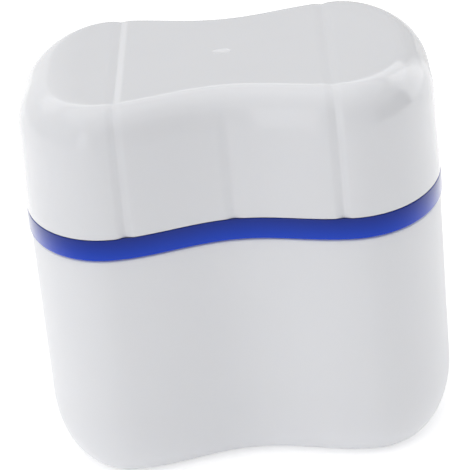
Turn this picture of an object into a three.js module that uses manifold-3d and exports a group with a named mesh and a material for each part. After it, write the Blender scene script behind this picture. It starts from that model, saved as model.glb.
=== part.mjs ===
import * as THREE from "three";
import { mergeVertices } from "three/addons/utils/BufferGeometryUtils.js";
import Module from "manifold-3d";

const wasm = await Module();
wasm.setup();

// Denture case: a four-lobed cup, a rinse basket that hangs in it by a coloured rim, and a lift-off lid.
// Millimetres, +Z up, the origin in the middle of the underside, -Y the front.

// Plan outline, at the basket rim
const caseWidth = 86;
const caseDepth = 76;
const lobeCrestX = 24.6;
const sideFlatHalfLength = 6;
const valleyDepth = 6.25;

// Heights
const cupHeight = 48;
const rimBandHeight = 4.45;
const lidHeight = 25.85;
const rimSeatGap = 0.2;
const lidSeatGap = 0.25;

// Cup
const cupSetBack = 0.42;
const cupDraftShare = 0.014;
const cupWall = 2.4;
const cupFloor = 2.6;
const cupFootSideInset = 5.9;
const cupFootFrontInset = 6.8;
const cupFootHeight = 11.9;
const cupRimChamfer = 0.5;
const tongueHeight = 2.5;
const tongueThickness = 1.3;
const tongueClearance = 0.25;

// Rinse basket
const skirtThickness = 1;
const rimEdgeChamfer = 0.3;
const rimWebThickness = 1.3;
const basketWall = 1.2;
const basketWallClearance = 0.65;
const basketDraftShare = 0.03;
const basketFloorZ = 8;
const basketFloorThickness = 1.4;
const basketFootRadius = 6;
const lipHeight = 4.6;
const lipClearance = 0.5;
const floorHolePitch = 7;
const floorHoleRadius = 1.9;
const floorHoleMargin = 1.2;
const floorHoleSides = 8;
const wallSlotCount = 28;
const wallSlotWidth = 2.6;
const wallSlotFloorRise = 9;
const wallSlotTopDrop = 10;
const wallSlotReach = 5;

// Seal
const sealThickness = 0.9;
const sealHeight = 1.6;
const sealStandOut = 0.3;
const sealPlay = 0.2;
const sealGrooveRise = 1.3;

// Handle
const handleAxisDrop = 0.8;
const handleEndClearance = 2.9;
const handleCornerShare = 0.449;
const handleBar = 2.2;
const handleBarHeight = 3;
const handleGripLength = 22;
const handleGripBar = 5;
const handleSideClearance = 0.4;
const handleEyeRadius = 2.6;
const studRadius = 1.5;
const studLength = 2.1;
const studClearance = 0.2;
const bossLength = 9;
const bossHeight = 8.2;
const bossStandOut = 2;
const stopLength = 3;
const stopHeight = 1.6;
const stopAlongArmShare = 0.49;
const stopUnderlap = 1.4;
const stopGap = 0.25;

// Lid
const lidWall = 2.1;
const lidDraftShare = 0.015;
const lidEdgeChamfer = 0.3;
const shoulderSideInset = 8.5;
const shoulderFrontInset = 6.7;
const shoulderHeight = 9;
const grooveInsideCrest = 2.9;
const grooveHalfWidth = 1.6;
const grooveDepth = 0.9;
const sideCreaseHalfWidth = 1.8;
const sideCreaseDepth = 1;
const middleCreaseHalfWidth = 1.8;
const middleCreaseDepth = 0.4;
const creaseEndShare = 0.8;
const cutterStandOff = 0.6;
const gateMarkRadius = 1.4;
const gateMarkDepth = 0.25;

// Facets
const sideSteps = 2;
const cornerSteps = 8;
const valleySteps = 5;
const shoulderSteps = 7;
const footSteps = 5;
const basketFootSteps = 3;
const slotEndSteps = 3;
const bowCornerSteps = 8;
const roundSides = 20;

const bandBottomZ = cupHeight + rimSeatGap;
const bandTopZ = cupHeight + rimBandHeight - rimSeatGap;
const lidBottomZ = bandTopZ + lidSeatGap;
const topZ = cupHeight + rimBandHeight + lidHeight;
const shoulderStartZ = topZ - shoulderHeight;
const tongueOuterInset = skirtThickness + tongueClearance;
const tongueInnerInset = tongueOuterInset + tongueThickness;
const basketOuterInset = tongueInnerInset + basketWallClearance;
const basketInnerInset = basketOuterInset + basketWall;
const webUnderZ = bandTopZ - rimWebThickness;
const lipOuterInset = lidWall + lipClearance;
const bossFaceInset = basketInnerInset + bossStandOut;
const handleHalfWidth = caseWidth / 2 - bossFaceInset - handleSideClearance;
const handleReach = caseDepth / 2 - valleyDepth - basketInnerInset - handleEndClearance;
const handleCornerRadius = handleCornerShare * handleReach;
const handleAxisZ = cupHeight - handleAxisDrop;
const stopAlongArm = stopAlongArmShare * handleReach;
const wallSlotLowZ = basketFloorZ + wallSlotFloorRise;
const wallSlotHighZ = cupHeight - wallSlotTopDrop;
const grooveX = lobeCrestX - grooveInsideCrest;

// One level of an outline: how far it is set in at the sides and at the front and back.
function level(sideInset, frontInset, z) {
  return { halfWidth: caseWidth / 2 - sideInset, halfDepth: caseDepth / 2 - frontInset, z };
}

// Half depth of the outline at a distance x from the middle plane.
function outlineHalfDepthAt(x, at) {
  const across = Math.abs(x);
  if (across <= lobeCrestX) {
    return at.halfDepth - (valleyDepth * (1 + Math.cos((Math.PI * across) / lobeCrestX))) / 2;
  }
  const share = (across - lobeCrestX) / (at.halfWidth - lobeCrestX);
  if (share >= 1) {
    return 0;
  }
  return sideFlatHalfLength + (at.halfDepth - sideFlatHalfLength) * Math.sqrt(1 - share * share);
}

// Half width of the outline at a distance y from the middle plane between front and back.
function outlineHalfWidthAt(y, at) {
  const beyond = Math.max(Math.abs(y) - sideFlatHalfLength, 0);
  const share = Math.min(beyond / (at.halfDepth - sideFlatHalfLength), 1);
  return lobeCrestX + (at.halfWidth - lobeCrestX) * Math.sqrt(1 - share * share);
}

// The quarter of an outline from the middle of the right side to the middle of the back.
function quarterOutline(at) {
  const points = [];
  for (let i = 0; i < sideSteps; i += 1) {
    points.push([at.halfWidth, (sideFlatHalfLength * i) / sideSteps]);
  }
  for (let i = 0; i < cornerSteps; i += 1) {
    const turn = (Math.PI * i) / (2 * cornerSteps);
    points.push([
      lobeCrestX + (at.halfWidth - lobeCrestX) * Math.cos(turn),
      sideFlatHalfLength + (at.halfDepth - sideFlatHalfLength) * Math.sin(turn),
    ]);
  }
  for (let i = 0; i <= valleySteps; i += 1) {
    const x = lobeCrestX * (1 - i / valleySteps);
    points.push([x, outlineHalfDepthAt(x, at)]);
  }
  return points;
}

// The whole outline of a level, counter-clockwise seen from above.
function ring(at) {
  const quarter = quarterOutline(at);
  const rightToBack = quarter.slice(0, -1);
  const backToLeft = quarter.slice(1).reverse();
  const points = [
    ...rightToBack,
    ...backToLeft.map(([x, y]) => [-x, y]),
    ...rightToBack.map(([x, y]) => [-x, -y]),
    ...backToLeft.map(([x, y]) => [x, -y]),
  ];
  return points.map(([x, y]) => new THREE.Vector3(x, y, at.z));
}

// A closed skin through rings; with caps it ends on two middle points, without them it closes on itself.
function loft(rings, capped) {
  const count = rings[0].length;
  const points = rings.flat();
  const faces = [];
  const bands = capped ? rings.length - 1 : rings.length;
  for (let k = 0; k < bands; k += 1) {
    const low = k * count;
    const high = ((k + 1) % rings.length) * count;
    for (let i = 0; i < count; i += 1) {
      const next = (i + 1) % count;
      faces.push(low + i, low + next, high + next);
      faces.push(low + i, high + next, high + i);
    }
  }
  if (capped) {
    const last = (rings.length - 1) * count;
    const startMiddle = points.length;
    points.push(new THREE.Vector3(0, 0, rings[0][0].z));
    points.push(new THREE.Vector3(0, 0, rings[rings.length - 1][0].z));
    for (let i = 0; i < count; i += 1) {
      const next = (i + 1) % count;
      faces.push(startMiddle, next, i);
      faces.push(startMiddle + 1, last + i, last + next);
    }
  }
  return solidFrom(points, faces);
}

function solidFrom(points, faces) {
  const vertProperties = new Float32Array(points.flatMap((p) => [p.x, p.y, p.z]));
  const triVerts = new Uint32Array(faces);
  return new wasm.Manifold(new wasm.Mesh({ numProp: 3, vertProperties, triVerts }));
}

function solidOfGeometry(geometry) {
  const bare = new THREE.BufferGeometry();
  const source = geometry.index ? geometry.toNonIndexed() : geometry;
  bare.setAttribute("position", source.getAttribute("position"));
  const merged = mergeVertices(bare);
  return new wasm.Manifold(
    new wasm.Mesh({
      numProp: 3,
      vertProperties: merged.getAttribute("position").array,
      triVerts: new Uint32Array(merged.index.array),
    }),
  );
}

function box(width, depth, height, x, y, z) {
  return solidOfGeometry(new THREE.BoxGeometry(width, depth, height).translate(x, y, z));
}

// A round bar along X, from one x to another.
function barAlongX(radius, fromX, toX, z) {
  const length = Math.abs(toX - fromX);
  const geometry = new THREE.CylinderGeometry(radius, radius, length, roundSides);
  geometry.rotateZ(Math.PI / 2);
  geometry.translate((fromX + toX) / 2, 0, z);
  return solidOfGeometry(geometry);
}

function roundBarUp(radius, sides, x, y, lowZ, highZ) {
  const geometry = new THREE.CylinderGeometry(radius, radius, highZ - lowZ, sides);
  geometry.rotateX(Math.PI / 2);
  geometry.translate(x, y, (lowZ + highZ) / 2);
  return solidOfGeometry(geometry);
}

function meshOf(name, solid, colour, roughness) {
  const made = solid.getMesh();
  const geometry = new THREE.BufferGeometry();
  geometry.setAttribute("position", new THREE.BufferAttribute(made.vertProperties.slice(), 3));
  geometry.setIndex(new THREE.BufferAttribute(made.triVerts.slice(), 1));
  const flat = geometry.toNonIndexed();
  flat.computeVertexNormals();
  const material = new THREE.MeshStandardMaterial({ color: colour, roughness, metalness: 0 });
  const mesh = new THREE.Mesh(flat, material);
  mesh.name = name;
  return mesh;
}

function plainRing(inset, z) {
  return ring(level(inset, inset, z));
}

// The rounded foot of the cup, moved in from the skin by the wall.
function cupFootRing(turn, wall) {
  const lean = cupDraftShare * cupHeight;
  const roundIn = 1 - Math.cos(turn);
  const shell = wall * Math.cos(turn);
  const side = cupSetBack + lean + cupFootSideInset * roundIn + shell;
  const front = cupSetBack + lean + cupFootFrontInset * roundIn + shell;
  const floor = wall > 0 ? cupFloor : 0;
  return ring(level(side, front, cupFootHeight * (1 - Math.sin(turn)) + floor * Math.sin(turn)));
}

function cupFootRings(wall) {
  const rings = [];
  for (let i = 0; i <= footSteps; i += 1) {
    rings.push(cupFootRing((Math.PI / 2) * (1 - i / footSteps), wall));
  }
  return rings;
}

function makeBaseCup() {
  const tongueTopZ = cupHeight + tongueHeight;
  const rings = [
    ...cupFootRings(0),
    plainRing(cupSetBack, cupHeight - cupRimChamfer),
    plainRing(cupSetBack + cupRimChamfer, cupHeight),
    plainRing(tongueOuterInset, cupHeight),
    plainRing(tongueOuterInset, tongueTopZ),
    plainRing(tongueInnerInset, tongueTopZ),
    plainRing(tongueInnerInset, cupHeight - tongueHeight),
    ...cupFootRings(cupWall).reverse(),
  ];
  return meshOf("base_cup", loft(rings, true), 0xe6e8ec, 0.42);
}

// The rounded bottom edge of the basket, on its outer or its inner face.
function basketFootRings(inset, radius, floorZ) {
  const rings = [];
  for (let i = 0; i <= basketFootSteps; i += 1) {
    const turn = (Math.PI / 2) * (1 - i / basketFootSteps);
    rings.push(plainRing(inset + radius * (1 - Math.cos(turn)), floorZ + radius * (1 - Math.sin(turn))));
  }
  return rings;
}

// The upstanding lip with the groove that holds the seal, from the rim to its top.
function lipOutsideRings() {
  const sealBottomZ = bandTopZ + sealGrooveRise;
  const sealFloorInset = lipOuterInset - sealStandOut + sealThickness + sealPlay;
  const grooveTopZ = sealBottomZ + sealHeight + 2 * sealPlay;
  const lipTopZ = bandTopZ + lipHeight;
  return [
    plainRing(lipOuterInset, bandTopZ),
    plainRing(lipOuterInset, sealBottomZ),
    plainRing(sealFloorInset, sealBottomZ),
    plainRing(sealFloorInset, grooveTopZ),
    plainRing(lipOuterInset, grooveTopZ),
    plainRing(lipOuterInset, lipTopZ - rimEdgeChamfer),
    plainRing(lipOuterInset + rimEdgeChamfer, lipTopZ),
    plainRing(basketInnerInset, lipTopZ),
  ];
}

function basketShell() {
  const drop = webUnderZ - basketFloorZ;
  const lowOuterInset = basketOuterInset + basketDraftShare * drop;
  const lowInnerInset = lowOuterInset + basketWall;
  const innerFoot = basketFootRadius - basketWall;
  const rings = [
    ...basketFootRings(lowOuterInset, basketFootRadius, basketFloorZ),
    plainRing(basketOuterInset, webUnderZ),
    plainRing(skirtThickness, webUnderZ),
    plainRing(skirtThickness, bandBottomZ),
    plainRing(rimEdgeChamfer, bandBottomZ),
    plainRing(0, bandBottomZ + rimEdgeChamfer),
    plainRing(0, bandTopZ - rimEdgeChamfer),
    plainRing(rimEdgeChamfer, bandTopZ),
    ...lipOutsideRings(),
    plainRing(basketInnerInset, webUnderZ),
    ...basketFootRings(lowInnerInset, innerFoot, basketFloorZ + basketFloorThickness).reverse(),
  ];
  return loft(rings, true);
}

function floorHoleCutters() {
  const floorInset = basketOuterInset + basketDraftShare * cupHeight + basketFootRadius;
  const floorLevel = level(floorInset, floorInset, basketFloorZ);
  const columns = Math.floor(floorLevel.halfWidth / floorHolePitch);
  const rows = Math.floor(floorLevel.halfDepth / floorHolePitch);
  const lowZ = basketFloorZ - basketFloorThickness;
  const highZ = basketFloorZ + 2 * basketFloorThickness;
  const room = floorHoleRadius + floorHoleMargin;
  const cutters = [];
  for (let column = -columns; column <= columns; column += 1) {
    for (let row = -rows; row <= rows; row += 1) {
      const x = column * floorHolePitch;
      const y = row * floorHolePitch;
      const limit = outlineHalfDepthAt(Math.abs(x) + room, floorLevel);
      const middleLimit = outlineHalfDepthAt(x, floorLevel);
      if (Math.abs(y) + room < Math.min(limit, middleLimit)) {
        cutters.push(roundBarUp(floorHoleRadius, floorHoleSides, x, y, lowZ, highZ));
      }
    }
  }
  return cutters;
}

// A point at a share of the way round an outline, and the direction that faces out there.
function placeOnOutline(at, share) {
  const points = ring(at);
  const lengths = points.map((p, i) => p.distanceTo(points[(i + 1) % points.length]));
  const whole = lengths.reduce((sum, each) => sum + each, 0);
  let left = share * whole;
  let i = 0;
  while (left > lengths[i]) {
    left -= lengths[i];
    i += 1;
  }
  const from = points[i];
  const to = points[(i + 1) % points.length];
  const along = to.clone().sub(from).normalize();
  const place = from.clone().addScaledVector(along, left);
  return { place, turn: Math.atan2(-along.x, along.y) };
}

// An upright slot with round ends, cut straight through the wall.
function wallSlotCutter(place, turn) {
  const straight = wallSlotHighZ - wallSlotLowZ - wallSlotWidth;
  const outline = new THREE.Shape();
  outline.absarc(0, straight / 2, wallSlotWidth / 2, 0, Math.PI);
  outline.absarc(0, -straight / 2, wallSlotWidth / 2, Math.PI, 2 * Math.PI);
  const geometry = new THREE.ExtrudeGeometry(outline, {
    depth: 2 * wallSlotReach,
    bevelEnabled: false,
    curveSegments: slotEndSteps,
  });
  geometry.translate(0, 0, -wallSlotReach);
  geometry.rotateX(Math.PI / 2);
  geometry.rotateZ(turn + Math.PI / 2);
  geometry.translate(place.x, place.y, (wallSlotLowZ + wallSlotHighZ) / 2);
  return solidOfGeometry(geometry);
}

function wallSlotCutters() {
  const inset = basketInnerInset;
  const cutters = [];
  for (let i = 0; i < wallSlotCount; i += 1) {
    const spot = placeOnOutline(level(inset, inset, 0), (i + 1 / 2) / wallSlotCount);
    cutters.push(wallSlotCutter(spot.place, spot.turn));
  }
  return cutters;
}

// Half width of the middle of the basket's wall at a distance y from the handle's axis.
function wallMiddleX(y, z) {
  const inset = basketInnerInset - basketWall / 2 + basketDraftShare * (webUnderZ - z);
  return outlineHalfWidthAt(y, level(inset, inset, z));
}

// The pads that carry the handle, one on each side, and the stops its arms rest on, back and front.
function basketPads() {
  const bossFaceX = caseWidth / 2 - bossFaceInset;
  const bossWidth = wallMiddleX(bossLength / 2, handleAxisZ) - bossFaceX;
  const stopFaceX = handleHalfWidth - stopUnderlap;
  const stopZ = handleAxisZ - handleBarHeight / 2 - stopGap - stopHeight / 2;
  const stopWidth = wallMiddleX(stopAlongArm + stopLength / 2, stopZ) - stopFaceX;
  const pads = [];
  for (const side of [-1, 1]) {
    const bossX = side * (bossFaceX + bossWidth / 2);
    pads.push(box(bossWidth, bossLength, bossHeight, bossX, 0, handleAxisZ));
    const stopX = side * (stopFaceX + stopWidth / 2);
    for (const end of [-1, 1]) {
      pads.push(box(stopWidth, stopLength, stopHeight, stopX, end * stopAlongArm, stopZ));
    }
  }
  return pads;
}

function studHoleCutters() {
  const faceX = caseWidth / 2 - bossFaceInset;
  const radius = studRadius + studClearance;
  const depth = studLength + studClearance;
  return [-1, 1].map((side) => {
    const inner = side * (faceX - studLength);
    const outer = side * (faceX - handleSideClearance + depth);
    return barAlongX(radius, inner, outer, handleAxisZ);
  });
}

function makeRinseBasket() {
  const body = wasm.Manifold.union([basketShell(), ...basketPads()]);
  const cutters = [...floorHoleCutters(), ...wallSlotCutters(), ...studHoleCutters()];
  const solid = body.subtract(wasm.Manifold.union(cutters));
  return meshOf("rinse_basket", solid, 0x23349c, 0.35);
}

function makeLidSeal() {
  const outer = lipOuterInset - sealStandOut;
  const inner = outer + sealThickness;
  const lowZ = bandTopZ + sealGrooveRise + sealPlay;
  const highZ = lowZ + sealHeight;
  const edge = sealStandOut;
  const rings = [
    plainRing(outer + edge, lowZ),
    plainRing(outer, lowZ + edge),
    plainRing(outer, highZ - edge),
    plainRing(outer + edge, highZ),
    plainRing(inner, highZ),
    plainRing(inner, lowZ),
  ];
  return meshOf("lid_seal", loft(rings, false), 0xd9dde4, 0.6);
}

// One edge of the bow, set out or in from its middle line.
function bowEdge(shape, half, reach, radius, forward) {
  if (forward) {
    shape.moveTo(half, 0);
    shape.lineTo(half, reach - radius);
    shape.absarc(half - radius, reach - radius, radius, 0, Math.PI / 2, false);
    shape.lineTo(-(half - radius), reach);
    shape.absarc(-(half - radius), reach - radius, radius, Math.PI / 2, Math.PI, false);
    shape.lineTo(-half, 0);
    return;
  }
  shape.lineTo(-half, 0);
  shape.lineTo(-half, reach - radius);
  shape.absarc(-(half - radius), reach - radius, radius, Math.PI, Math.PI / 2, true);
  shape.lineTo(half - radius, reach);
  shape.absarc(half - radius, reach - radius, radius, Math.PI / 2, 0, true);
  shape.lineTo(half, 0);
}

function handleBow() {
  const shape = new THREE.Shape();
  bowEdge(shape, handleHalfWidth, handleReach, handleCornerRadius, true);
  const innerHalf = handleHalfWidth - handleBar;
  bowEdge(shape, innerHalf, handleReach - handleBar, handleCornerRadius - handleBar, false);
  const geometry = new THREE.ExtrudeGeometry(shape, {
    depth: handleBarHeight,
    bevelEnabled: false,
    curveSegments: bowCornerSteps,
  });
  geometry.translate(0, 0, handleAxisZ - handleBarHeight / 2);
  return solidOfGeometry(geometry);
}

// The bow with its grip, its two eyes and the studs that turn in the basket's pads; it lies flat.
function makeBasketHandle() {
  const armX = handleHalfWidth - handleBar;
  const gripY = handleReach - handleGripBar / 2;
  const pieces = [handleBow()];
  pieces.push(box(handleGripLength, handleGripBar, handleBarHeight, 0, gripY, handleAxisZ));
  for (const side of [-1, 1]) {
    pieces.push(barAlongX(handleEyeRadius, side * armX, side * handleHalfWidth, handleAxisZ));
    const studEnd = handleHalfWidth + studLength;
    pieces.push(barAlongX(studRadius, side * armX, side * studEnd, handleAxisZ));
  }
  return meshOf("basket_handle", wasm.Manifold.union(pieces), 0x2a3cab, 0.35);
}

// The lid's skin at a turn over the shoulder: 0 on the wall, a quarter turn on the top.
function lidShoulderLevel(turn, wall) {
  const lean = lidDraftShare * (shoulderStartZ - lidBottomZ);
  const roundIn = 1 - Math.cos(turn);
  const side = lean + shoulderSideInset * roundIn + wall * Math.cos(turn);
  const front = lean + shoulderFrontInset * roundIn + wall * Math.cos(turn);
  const z = shoulderStartZ + (shoulderHeight - wall) * Math.sin(turn);
  return level(side, front, z);
}

function lidShoulderLevels(wall) {
  const levels = [];
  for (let i = 0; i <= shoulderSteps; i += 1) {
    levels.push(lidShoulderLevel((Math.PI * i) / (2 * shoulderSteps), wall));
  }
  return levels;
}

function lidShell() {
  const edge = lidEdgeChamfer;
  const rings = [
    ...lidShoulderLevels(lidWall).reverse().map(ring),
    plainRing(lidWall, lidBottomZ),
    plainRing(edge, lidBottomZ),
    plainRing(0, lidBottomZ + edge),
    ...lidShoulderLevels(0).map(ring),
  ];
  return loft(rings, true);
}

// A wedge swept along a path on the lid's skin: what it takes away is a groove with sloping sides.
function wedgeAlong(path, across, halfWidth) {
  const rings = path.map((spot, i) => {
    const before = path[Math.max(i - 1, 0)].place;
    const after = path[Math.min(i + 1, path.length - 1)].place;
    const out = after.clone().sub(before).cross(across).normalize();
    const open = (halfWidth * (spot.depth + cutterStandOff)) / spot.depth;
    const lifted = spot.place.clone().addScaledVector(out, cutterStandOff);
    return [
      spot.place.clone().addScaledVector(out, -spot.depth),
      lifted.clone().addScaledVector(across, -open),
      lifted.clone().addScaledVector(across, open),
    ];
  });
  const points = rings.flat();
  const faces = [];
  for (let k = 0; k + 1 < rings.length; k += 1) {
    for (let i = 0; i < 3; i += 1) {
      const a = 3 * k + i;
      const b = 3 * k + ((i + 1) % 3);
      faces.push(a, a + 3, b + 3, a, b + 3, b);
    }
  }
  const last = points.length - 3;
  faces.push(0, 1, 2, last, last + 2, last + 1);
  const solid = solidFrom(points, faces);
  return solid;
}

// The lid's skin from its bottom edge to the top, as levels.
function lidSkinLevels() {
  const below = level(0, 0, lidBottomZ - cutterStandOff);
  return [below, ...lidShoulderLevels(0)];
}

// A groove that runs up the front, over the top and down the back.
function longGrooveCutter(x) {
  const front = lidSkinLevels().map((at) => {
    const y = -outlineHalfDepthAt(x, at);
    return { place: new THREE.Vector3(x, y, at.z), depth: grooveDepth };
  });
  const back = front.map((spot) => {
    const place = new THREE.Vector3(x, -spot.place.y, spot.place.z);
    return { place, depth: grooveDepth };
  });
  return wedgeAlong([...front, ...back.reverse()], new THREE.Vector3(-1, 0, 0), grooveHalfWidth);
}

// A crease up the middle of one side that runs out on the shoulder.
function creasePath(depth, placeAt) {
  const levels = lidSkinLevels();
  const end = creaseEndShare * (levels.length - 1);
  const path = [];
  levels.forEach((at, i) => {
    if (i <= end) {
      const start = levels.length - shoulderSteps - 1;
      const fade = i <= start ? 1 : 1 - (i - start) / (end - start + 1);
      path.push({ place: placeAt(at), depth: depth * fade });
    }
  });
  return path;
}

function creaseCutters() {
  const cutters = [];
  for (const side of [-1, 1]) {
    const onSide = creasePath(sideCreaseDepth, (at) => new THREE.Vector3(side * at.halfWidth, 0, at.z));
    cutters.push(wedgeAlong(onSide, new THREE.Vector3(0, -side, 0), sideCreaseHalfWidth));
    const onFace = creasePath(middleCreaseDepth, (at) => {
      return new THREE.Vector3(0, side * (at.halfDepth - valleyDepth), at.z);
    });
    cutters.push(wedgeAlong(onFace, new THREE.Vector3(side, 0, 0), middleCreaseHalfWidth));
  }
  return cutters;
}

function makeLid() {
  const gateMark = roundBarUp(gateMarkRadius, roundSides, 0, 0, topZ - gateMarkDepth, topZ + gateMarkDepth);
  const cutters = [longGrooveCutter(-grooveX), longGrooveCutter(grooveX), ...creaseCutters(), gateMark];
  const solid = lidShell().subtract(wasm.Manifold.union(cutters));
  return meshOf("lid", solid, 0xf0f1f4, 0.12);
}

const group = new THREE.Group();
group.name = "denture_case";
group.add(makeBaseCup());
group.add(makeRinseBasket());
group.add(makeBasketHandle());
group.add(makeLidSeal());
group.add(makeLid());

export default group;
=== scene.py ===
import math

import bmesh
import bpy
import numpy as np
from mathutils import Matrix, Vector


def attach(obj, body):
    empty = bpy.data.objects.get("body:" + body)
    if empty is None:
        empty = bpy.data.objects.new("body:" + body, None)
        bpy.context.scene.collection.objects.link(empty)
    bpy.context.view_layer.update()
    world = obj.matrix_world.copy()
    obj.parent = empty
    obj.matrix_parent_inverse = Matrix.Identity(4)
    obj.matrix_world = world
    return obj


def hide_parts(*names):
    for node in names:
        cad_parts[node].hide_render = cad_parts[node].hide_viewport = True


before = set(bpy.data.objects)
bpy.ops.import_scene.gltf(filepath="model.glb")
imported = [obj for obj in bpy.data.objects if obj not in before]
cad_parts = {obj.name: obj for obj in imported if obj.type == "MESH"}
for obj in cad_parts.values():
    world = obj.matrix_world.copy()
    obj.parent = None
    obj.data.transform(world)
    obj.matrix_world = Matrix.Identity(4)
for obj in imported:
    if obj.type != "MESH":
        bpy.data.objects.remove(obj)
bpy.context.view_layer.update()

MM = 0.001
SLIVER = 0.000002
SMOOTH_ANGLE = 32
LID_SMOOTH_ANGLE = 40

# Plan outline and heights, in millimetres. They are those of the part's source, but for the gaps at
# the blue line and the ledge under it, which are finer here.
HALF_WIDTH = 43.0
HALF_DEPTH = 38.0
LOBE_CREST_X = 24.6
SIDE_FLAT = 6.0
VALLEY = 6.25
CUP_HEIGHT = 48.0
BAND_HEIGHT = 4.45
LID_HEIGHT = 25.85
RIM_GAP = 0.2
CUP_LEDGE = CUP_HEIGHT - 0.15
LID_GAP = 0.1
BAND_BOTTOM = CUP_HEIGHT
BAND_TOP = CUP_HEIGHT + BAND_HEIGHT - RIM_GAP
LID_BOTTOM = BAND_TOP + LID_GAP
TOP = CUP_HEIGHT + BAND_HEIGHT + LID_HEIGHT

# Lid
LID_WALL = 2.1
LID_DRAFT = 0.015
SHOULDER_SIDE = 7.6
SHOULDER_FRONT = 6.7
SHOULDER_HEIGHT = 9.0
CROWN_SIDE_SLOPE = 0.085
CROWN_FRONT_SLOPE = 0.056
CROWN_SIDE = 9.0
CROWN_FRONT = 0.8
CROWN_STEPS = 8
GROOVE_X = 21.7
GROOVE_HALF = 1.6
GROOVE_DEPTH = 0.7
GROOVE_DEPTH_ON_TOP = 0.28
GROOVE_REACH = 2.7
SIDE_CREASE_HALF = 1.8
SIDE_CREASE_DEPTH = 1.0
SIDE_CREASE_REACH = 3.0
SIDE_CREASE_FADE = 24
MIDDLE_CREASE_HALF = 1.8
MIDDLE_CREASE_DEPTH = 0.55
MIDDLE_CREASE_REACH = 5.2
MIDDLE_CREASE_FADE = 40
MIDDLE_FINE = 5.4
V_BOTTOM_ROUND = 0.1
V_EDGE_ROUND = 0.18
GATE_RADIUS = 2.0
GATE_DEPTH = 0.17
LID_EDGE_ROUND = 0.3
WALL_STEPS = 8
SHOULDER_STEPS = 26

# Cup
CUP_SETBACK = 0.42
CUP_DRAFT = 0.014
CUP_WALL = 2.4
CUP_FLOOR = 2.6
FOOT_SIDE = 5.9
FOOT_FRONT = 6.8
FOOT_HEIGHT = 11.9
TONGUE_HEIGHT = 2.5
TONGUE_OUT = 1.25
TONGUE_IN = 2.55
TONGUE_ROUND = 0.4
LEDGE_ROUND = 0.6

# Basket
BASKET_OUT = 3.2
BASKET_IN = 4.4
BASKET_DRAFT = 0.03
BASKET_FLOOR = 8.0
BASKET_FLOOR_T = 1.4
BASKET_FOOT = 6.0
BASKET_WALL = 1.2
SKIRT = 1.0
WEB_UNDER = BAND_TOP - 1.3
LIP_OUT = 2.6
LIP_TOP = BAND_TOP + 4.6
LIP_ROUND = 0.5
SEAL_LOW = BAND_TOP + 1.3
SEAL_FLOOR = 3.4
SEAL_GROOVE_TOP = SEAL_LOW + 2.0
HOLE_PITCH = 7.0
HOLE_RADIUS = 1.9
HOLE_MARGIN = 1.2
SLOT_COUNT = 28
SLOT_WIDTH = 2.6
SLOT_LOW = 17.0
SLOT_HIGH = 38.0
STUD_HOLE_RADIUS = 1.7
STUD_HOLE_DEPTH = 2.3
PAD_HALF_WIDTH = 4.5
PAD_HALF_HEIGHT = 4.1
PAD_ROUND = 0.35
STOP_Y = 11.98
STOP_HALF_WIDTH = 1.5
STOP_HEIGHT = 1.6
STOP_REACH = 1.4
STOP_GAP = 0.25

# Seal
SEAL_OUT = LIP_OUT - 0.3
SEAL_IN = LIP_OUT + 0.6
SEAL_BOTTOM = SEAL_LOW + 0.2
SEAL_TOP = SEAL_LOW + 1.8
SEAL_ROUND_OUT = 0.45
SEAL_ROUND_IN = 0.2

# Handle
AXIS_Z = 47.2
BOSS_FACE = HALF_WIDTH - BASKET_IN - 2.0
ARM_X = BOSS_FACE - 0.4
HANDLE_REACH = 24.45
HANDLE_CORNER = 10.98
BAR = 2.2
BAR_HEIGHT = 3.0
GRIP_LENGTH = 22.0
GRIP_BAR = 5.0
GRIP_EASE = 1.6
EYE_RADIUS = 2.6
EYE_EDGE = 0.4
STUD_RADIUS = 1.5
STUD_LENGTH = 2.1
STUD_EDGE = 0.35
ROUND_SIDES = 40


def level(side, front, z):
    """One level of an outline: how far it is set in at the sides and at the front and back."""
    return {"w": HALF_WIDTH - side, "d": HALF_DEPTH - front, "z": z}


def half_depth_at(x, at):
    """Half depth of the outline at a distance x from the middle plane."""
    x = np.abs(np.asarray(x, dtype=float))
    valley = at["d"] - VALLEY * (1 + np.cos(np.pi * np.minimum(x / LOBE_CREST_X, 1))) / 2
    share = np.clip((x - LOBE_CREST_X) / (at["w"] - LOBE_CREST_X), 0, 1)
    lobe = SIDE_FLAT + (at["d"] - SIDE_FLAT) * np.sqrt(1 - share**2)
    return np.where(x <= LOBE_CREST_X, valley, lobe)


def quarter(at, fine):
    """Points from the middle of the right side to the middle of the back.

    A fine quarter has close points round the long groove and both creases.
    """
    w, d = at["w"], at["d"]
    if fine:
        ys = np.concatenate([
            np.linspace(0, SIDE_CREASE_REACH, 13)[:-1],
            np.linspace(SIDE_CREASE_REACH, SIDE_FLAT, 3)[:-1],
        ])
        xs = np.concatenate([
            np.linspace(LOBE_CREST_X, GROOVE_X - GROOVE_REACH, 33)[:-1],
            np.linspace(GROOVE_X - GROOVE_REACH, MIDDLE_FINE, 12)[:-1],
            np.linspace(MIDDLE_FINE, 0, 14),
        ])
    else:
        ys = np.linspace(0, SIDE_FLAT, 5)[:-1]
        xs = np.linspace(LOBE_CREST_X, 0, 19)
    turns = np.linspace(0, math.pi / 2, 33)[:-1]
    side = np.column_stack([np.full(len(ys), w), ys])
    lobe = np.column_stack([
        LOBE_CREST_X + (w - LOBE_CREST_X) * np.cos(turns),
        SIDE_FLAT + (d - SIDE_FLAT) * np.sin(turns),
    ])
    rear = np.column_stack([xs, half_depth_at(xs, at)])
    return np.concatenate([side, lobe, rear])


def ring(at, fine=False):
    """The whole outline, counter-clockwise from the middle of the right side."""
    q = quarter(at, fine)
    first, second = q[:-1], q[1:][::-1]
    flat = np.concatenate([first, second * [-1, 1], first * [-1, -1], second * [1, -1]])
    return np.column_stack([flat, np.full(len(flat), at["z"])])


def plain(inset, z, fine=False):
    return ring(level(inset, inset, z), fine)


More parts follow.
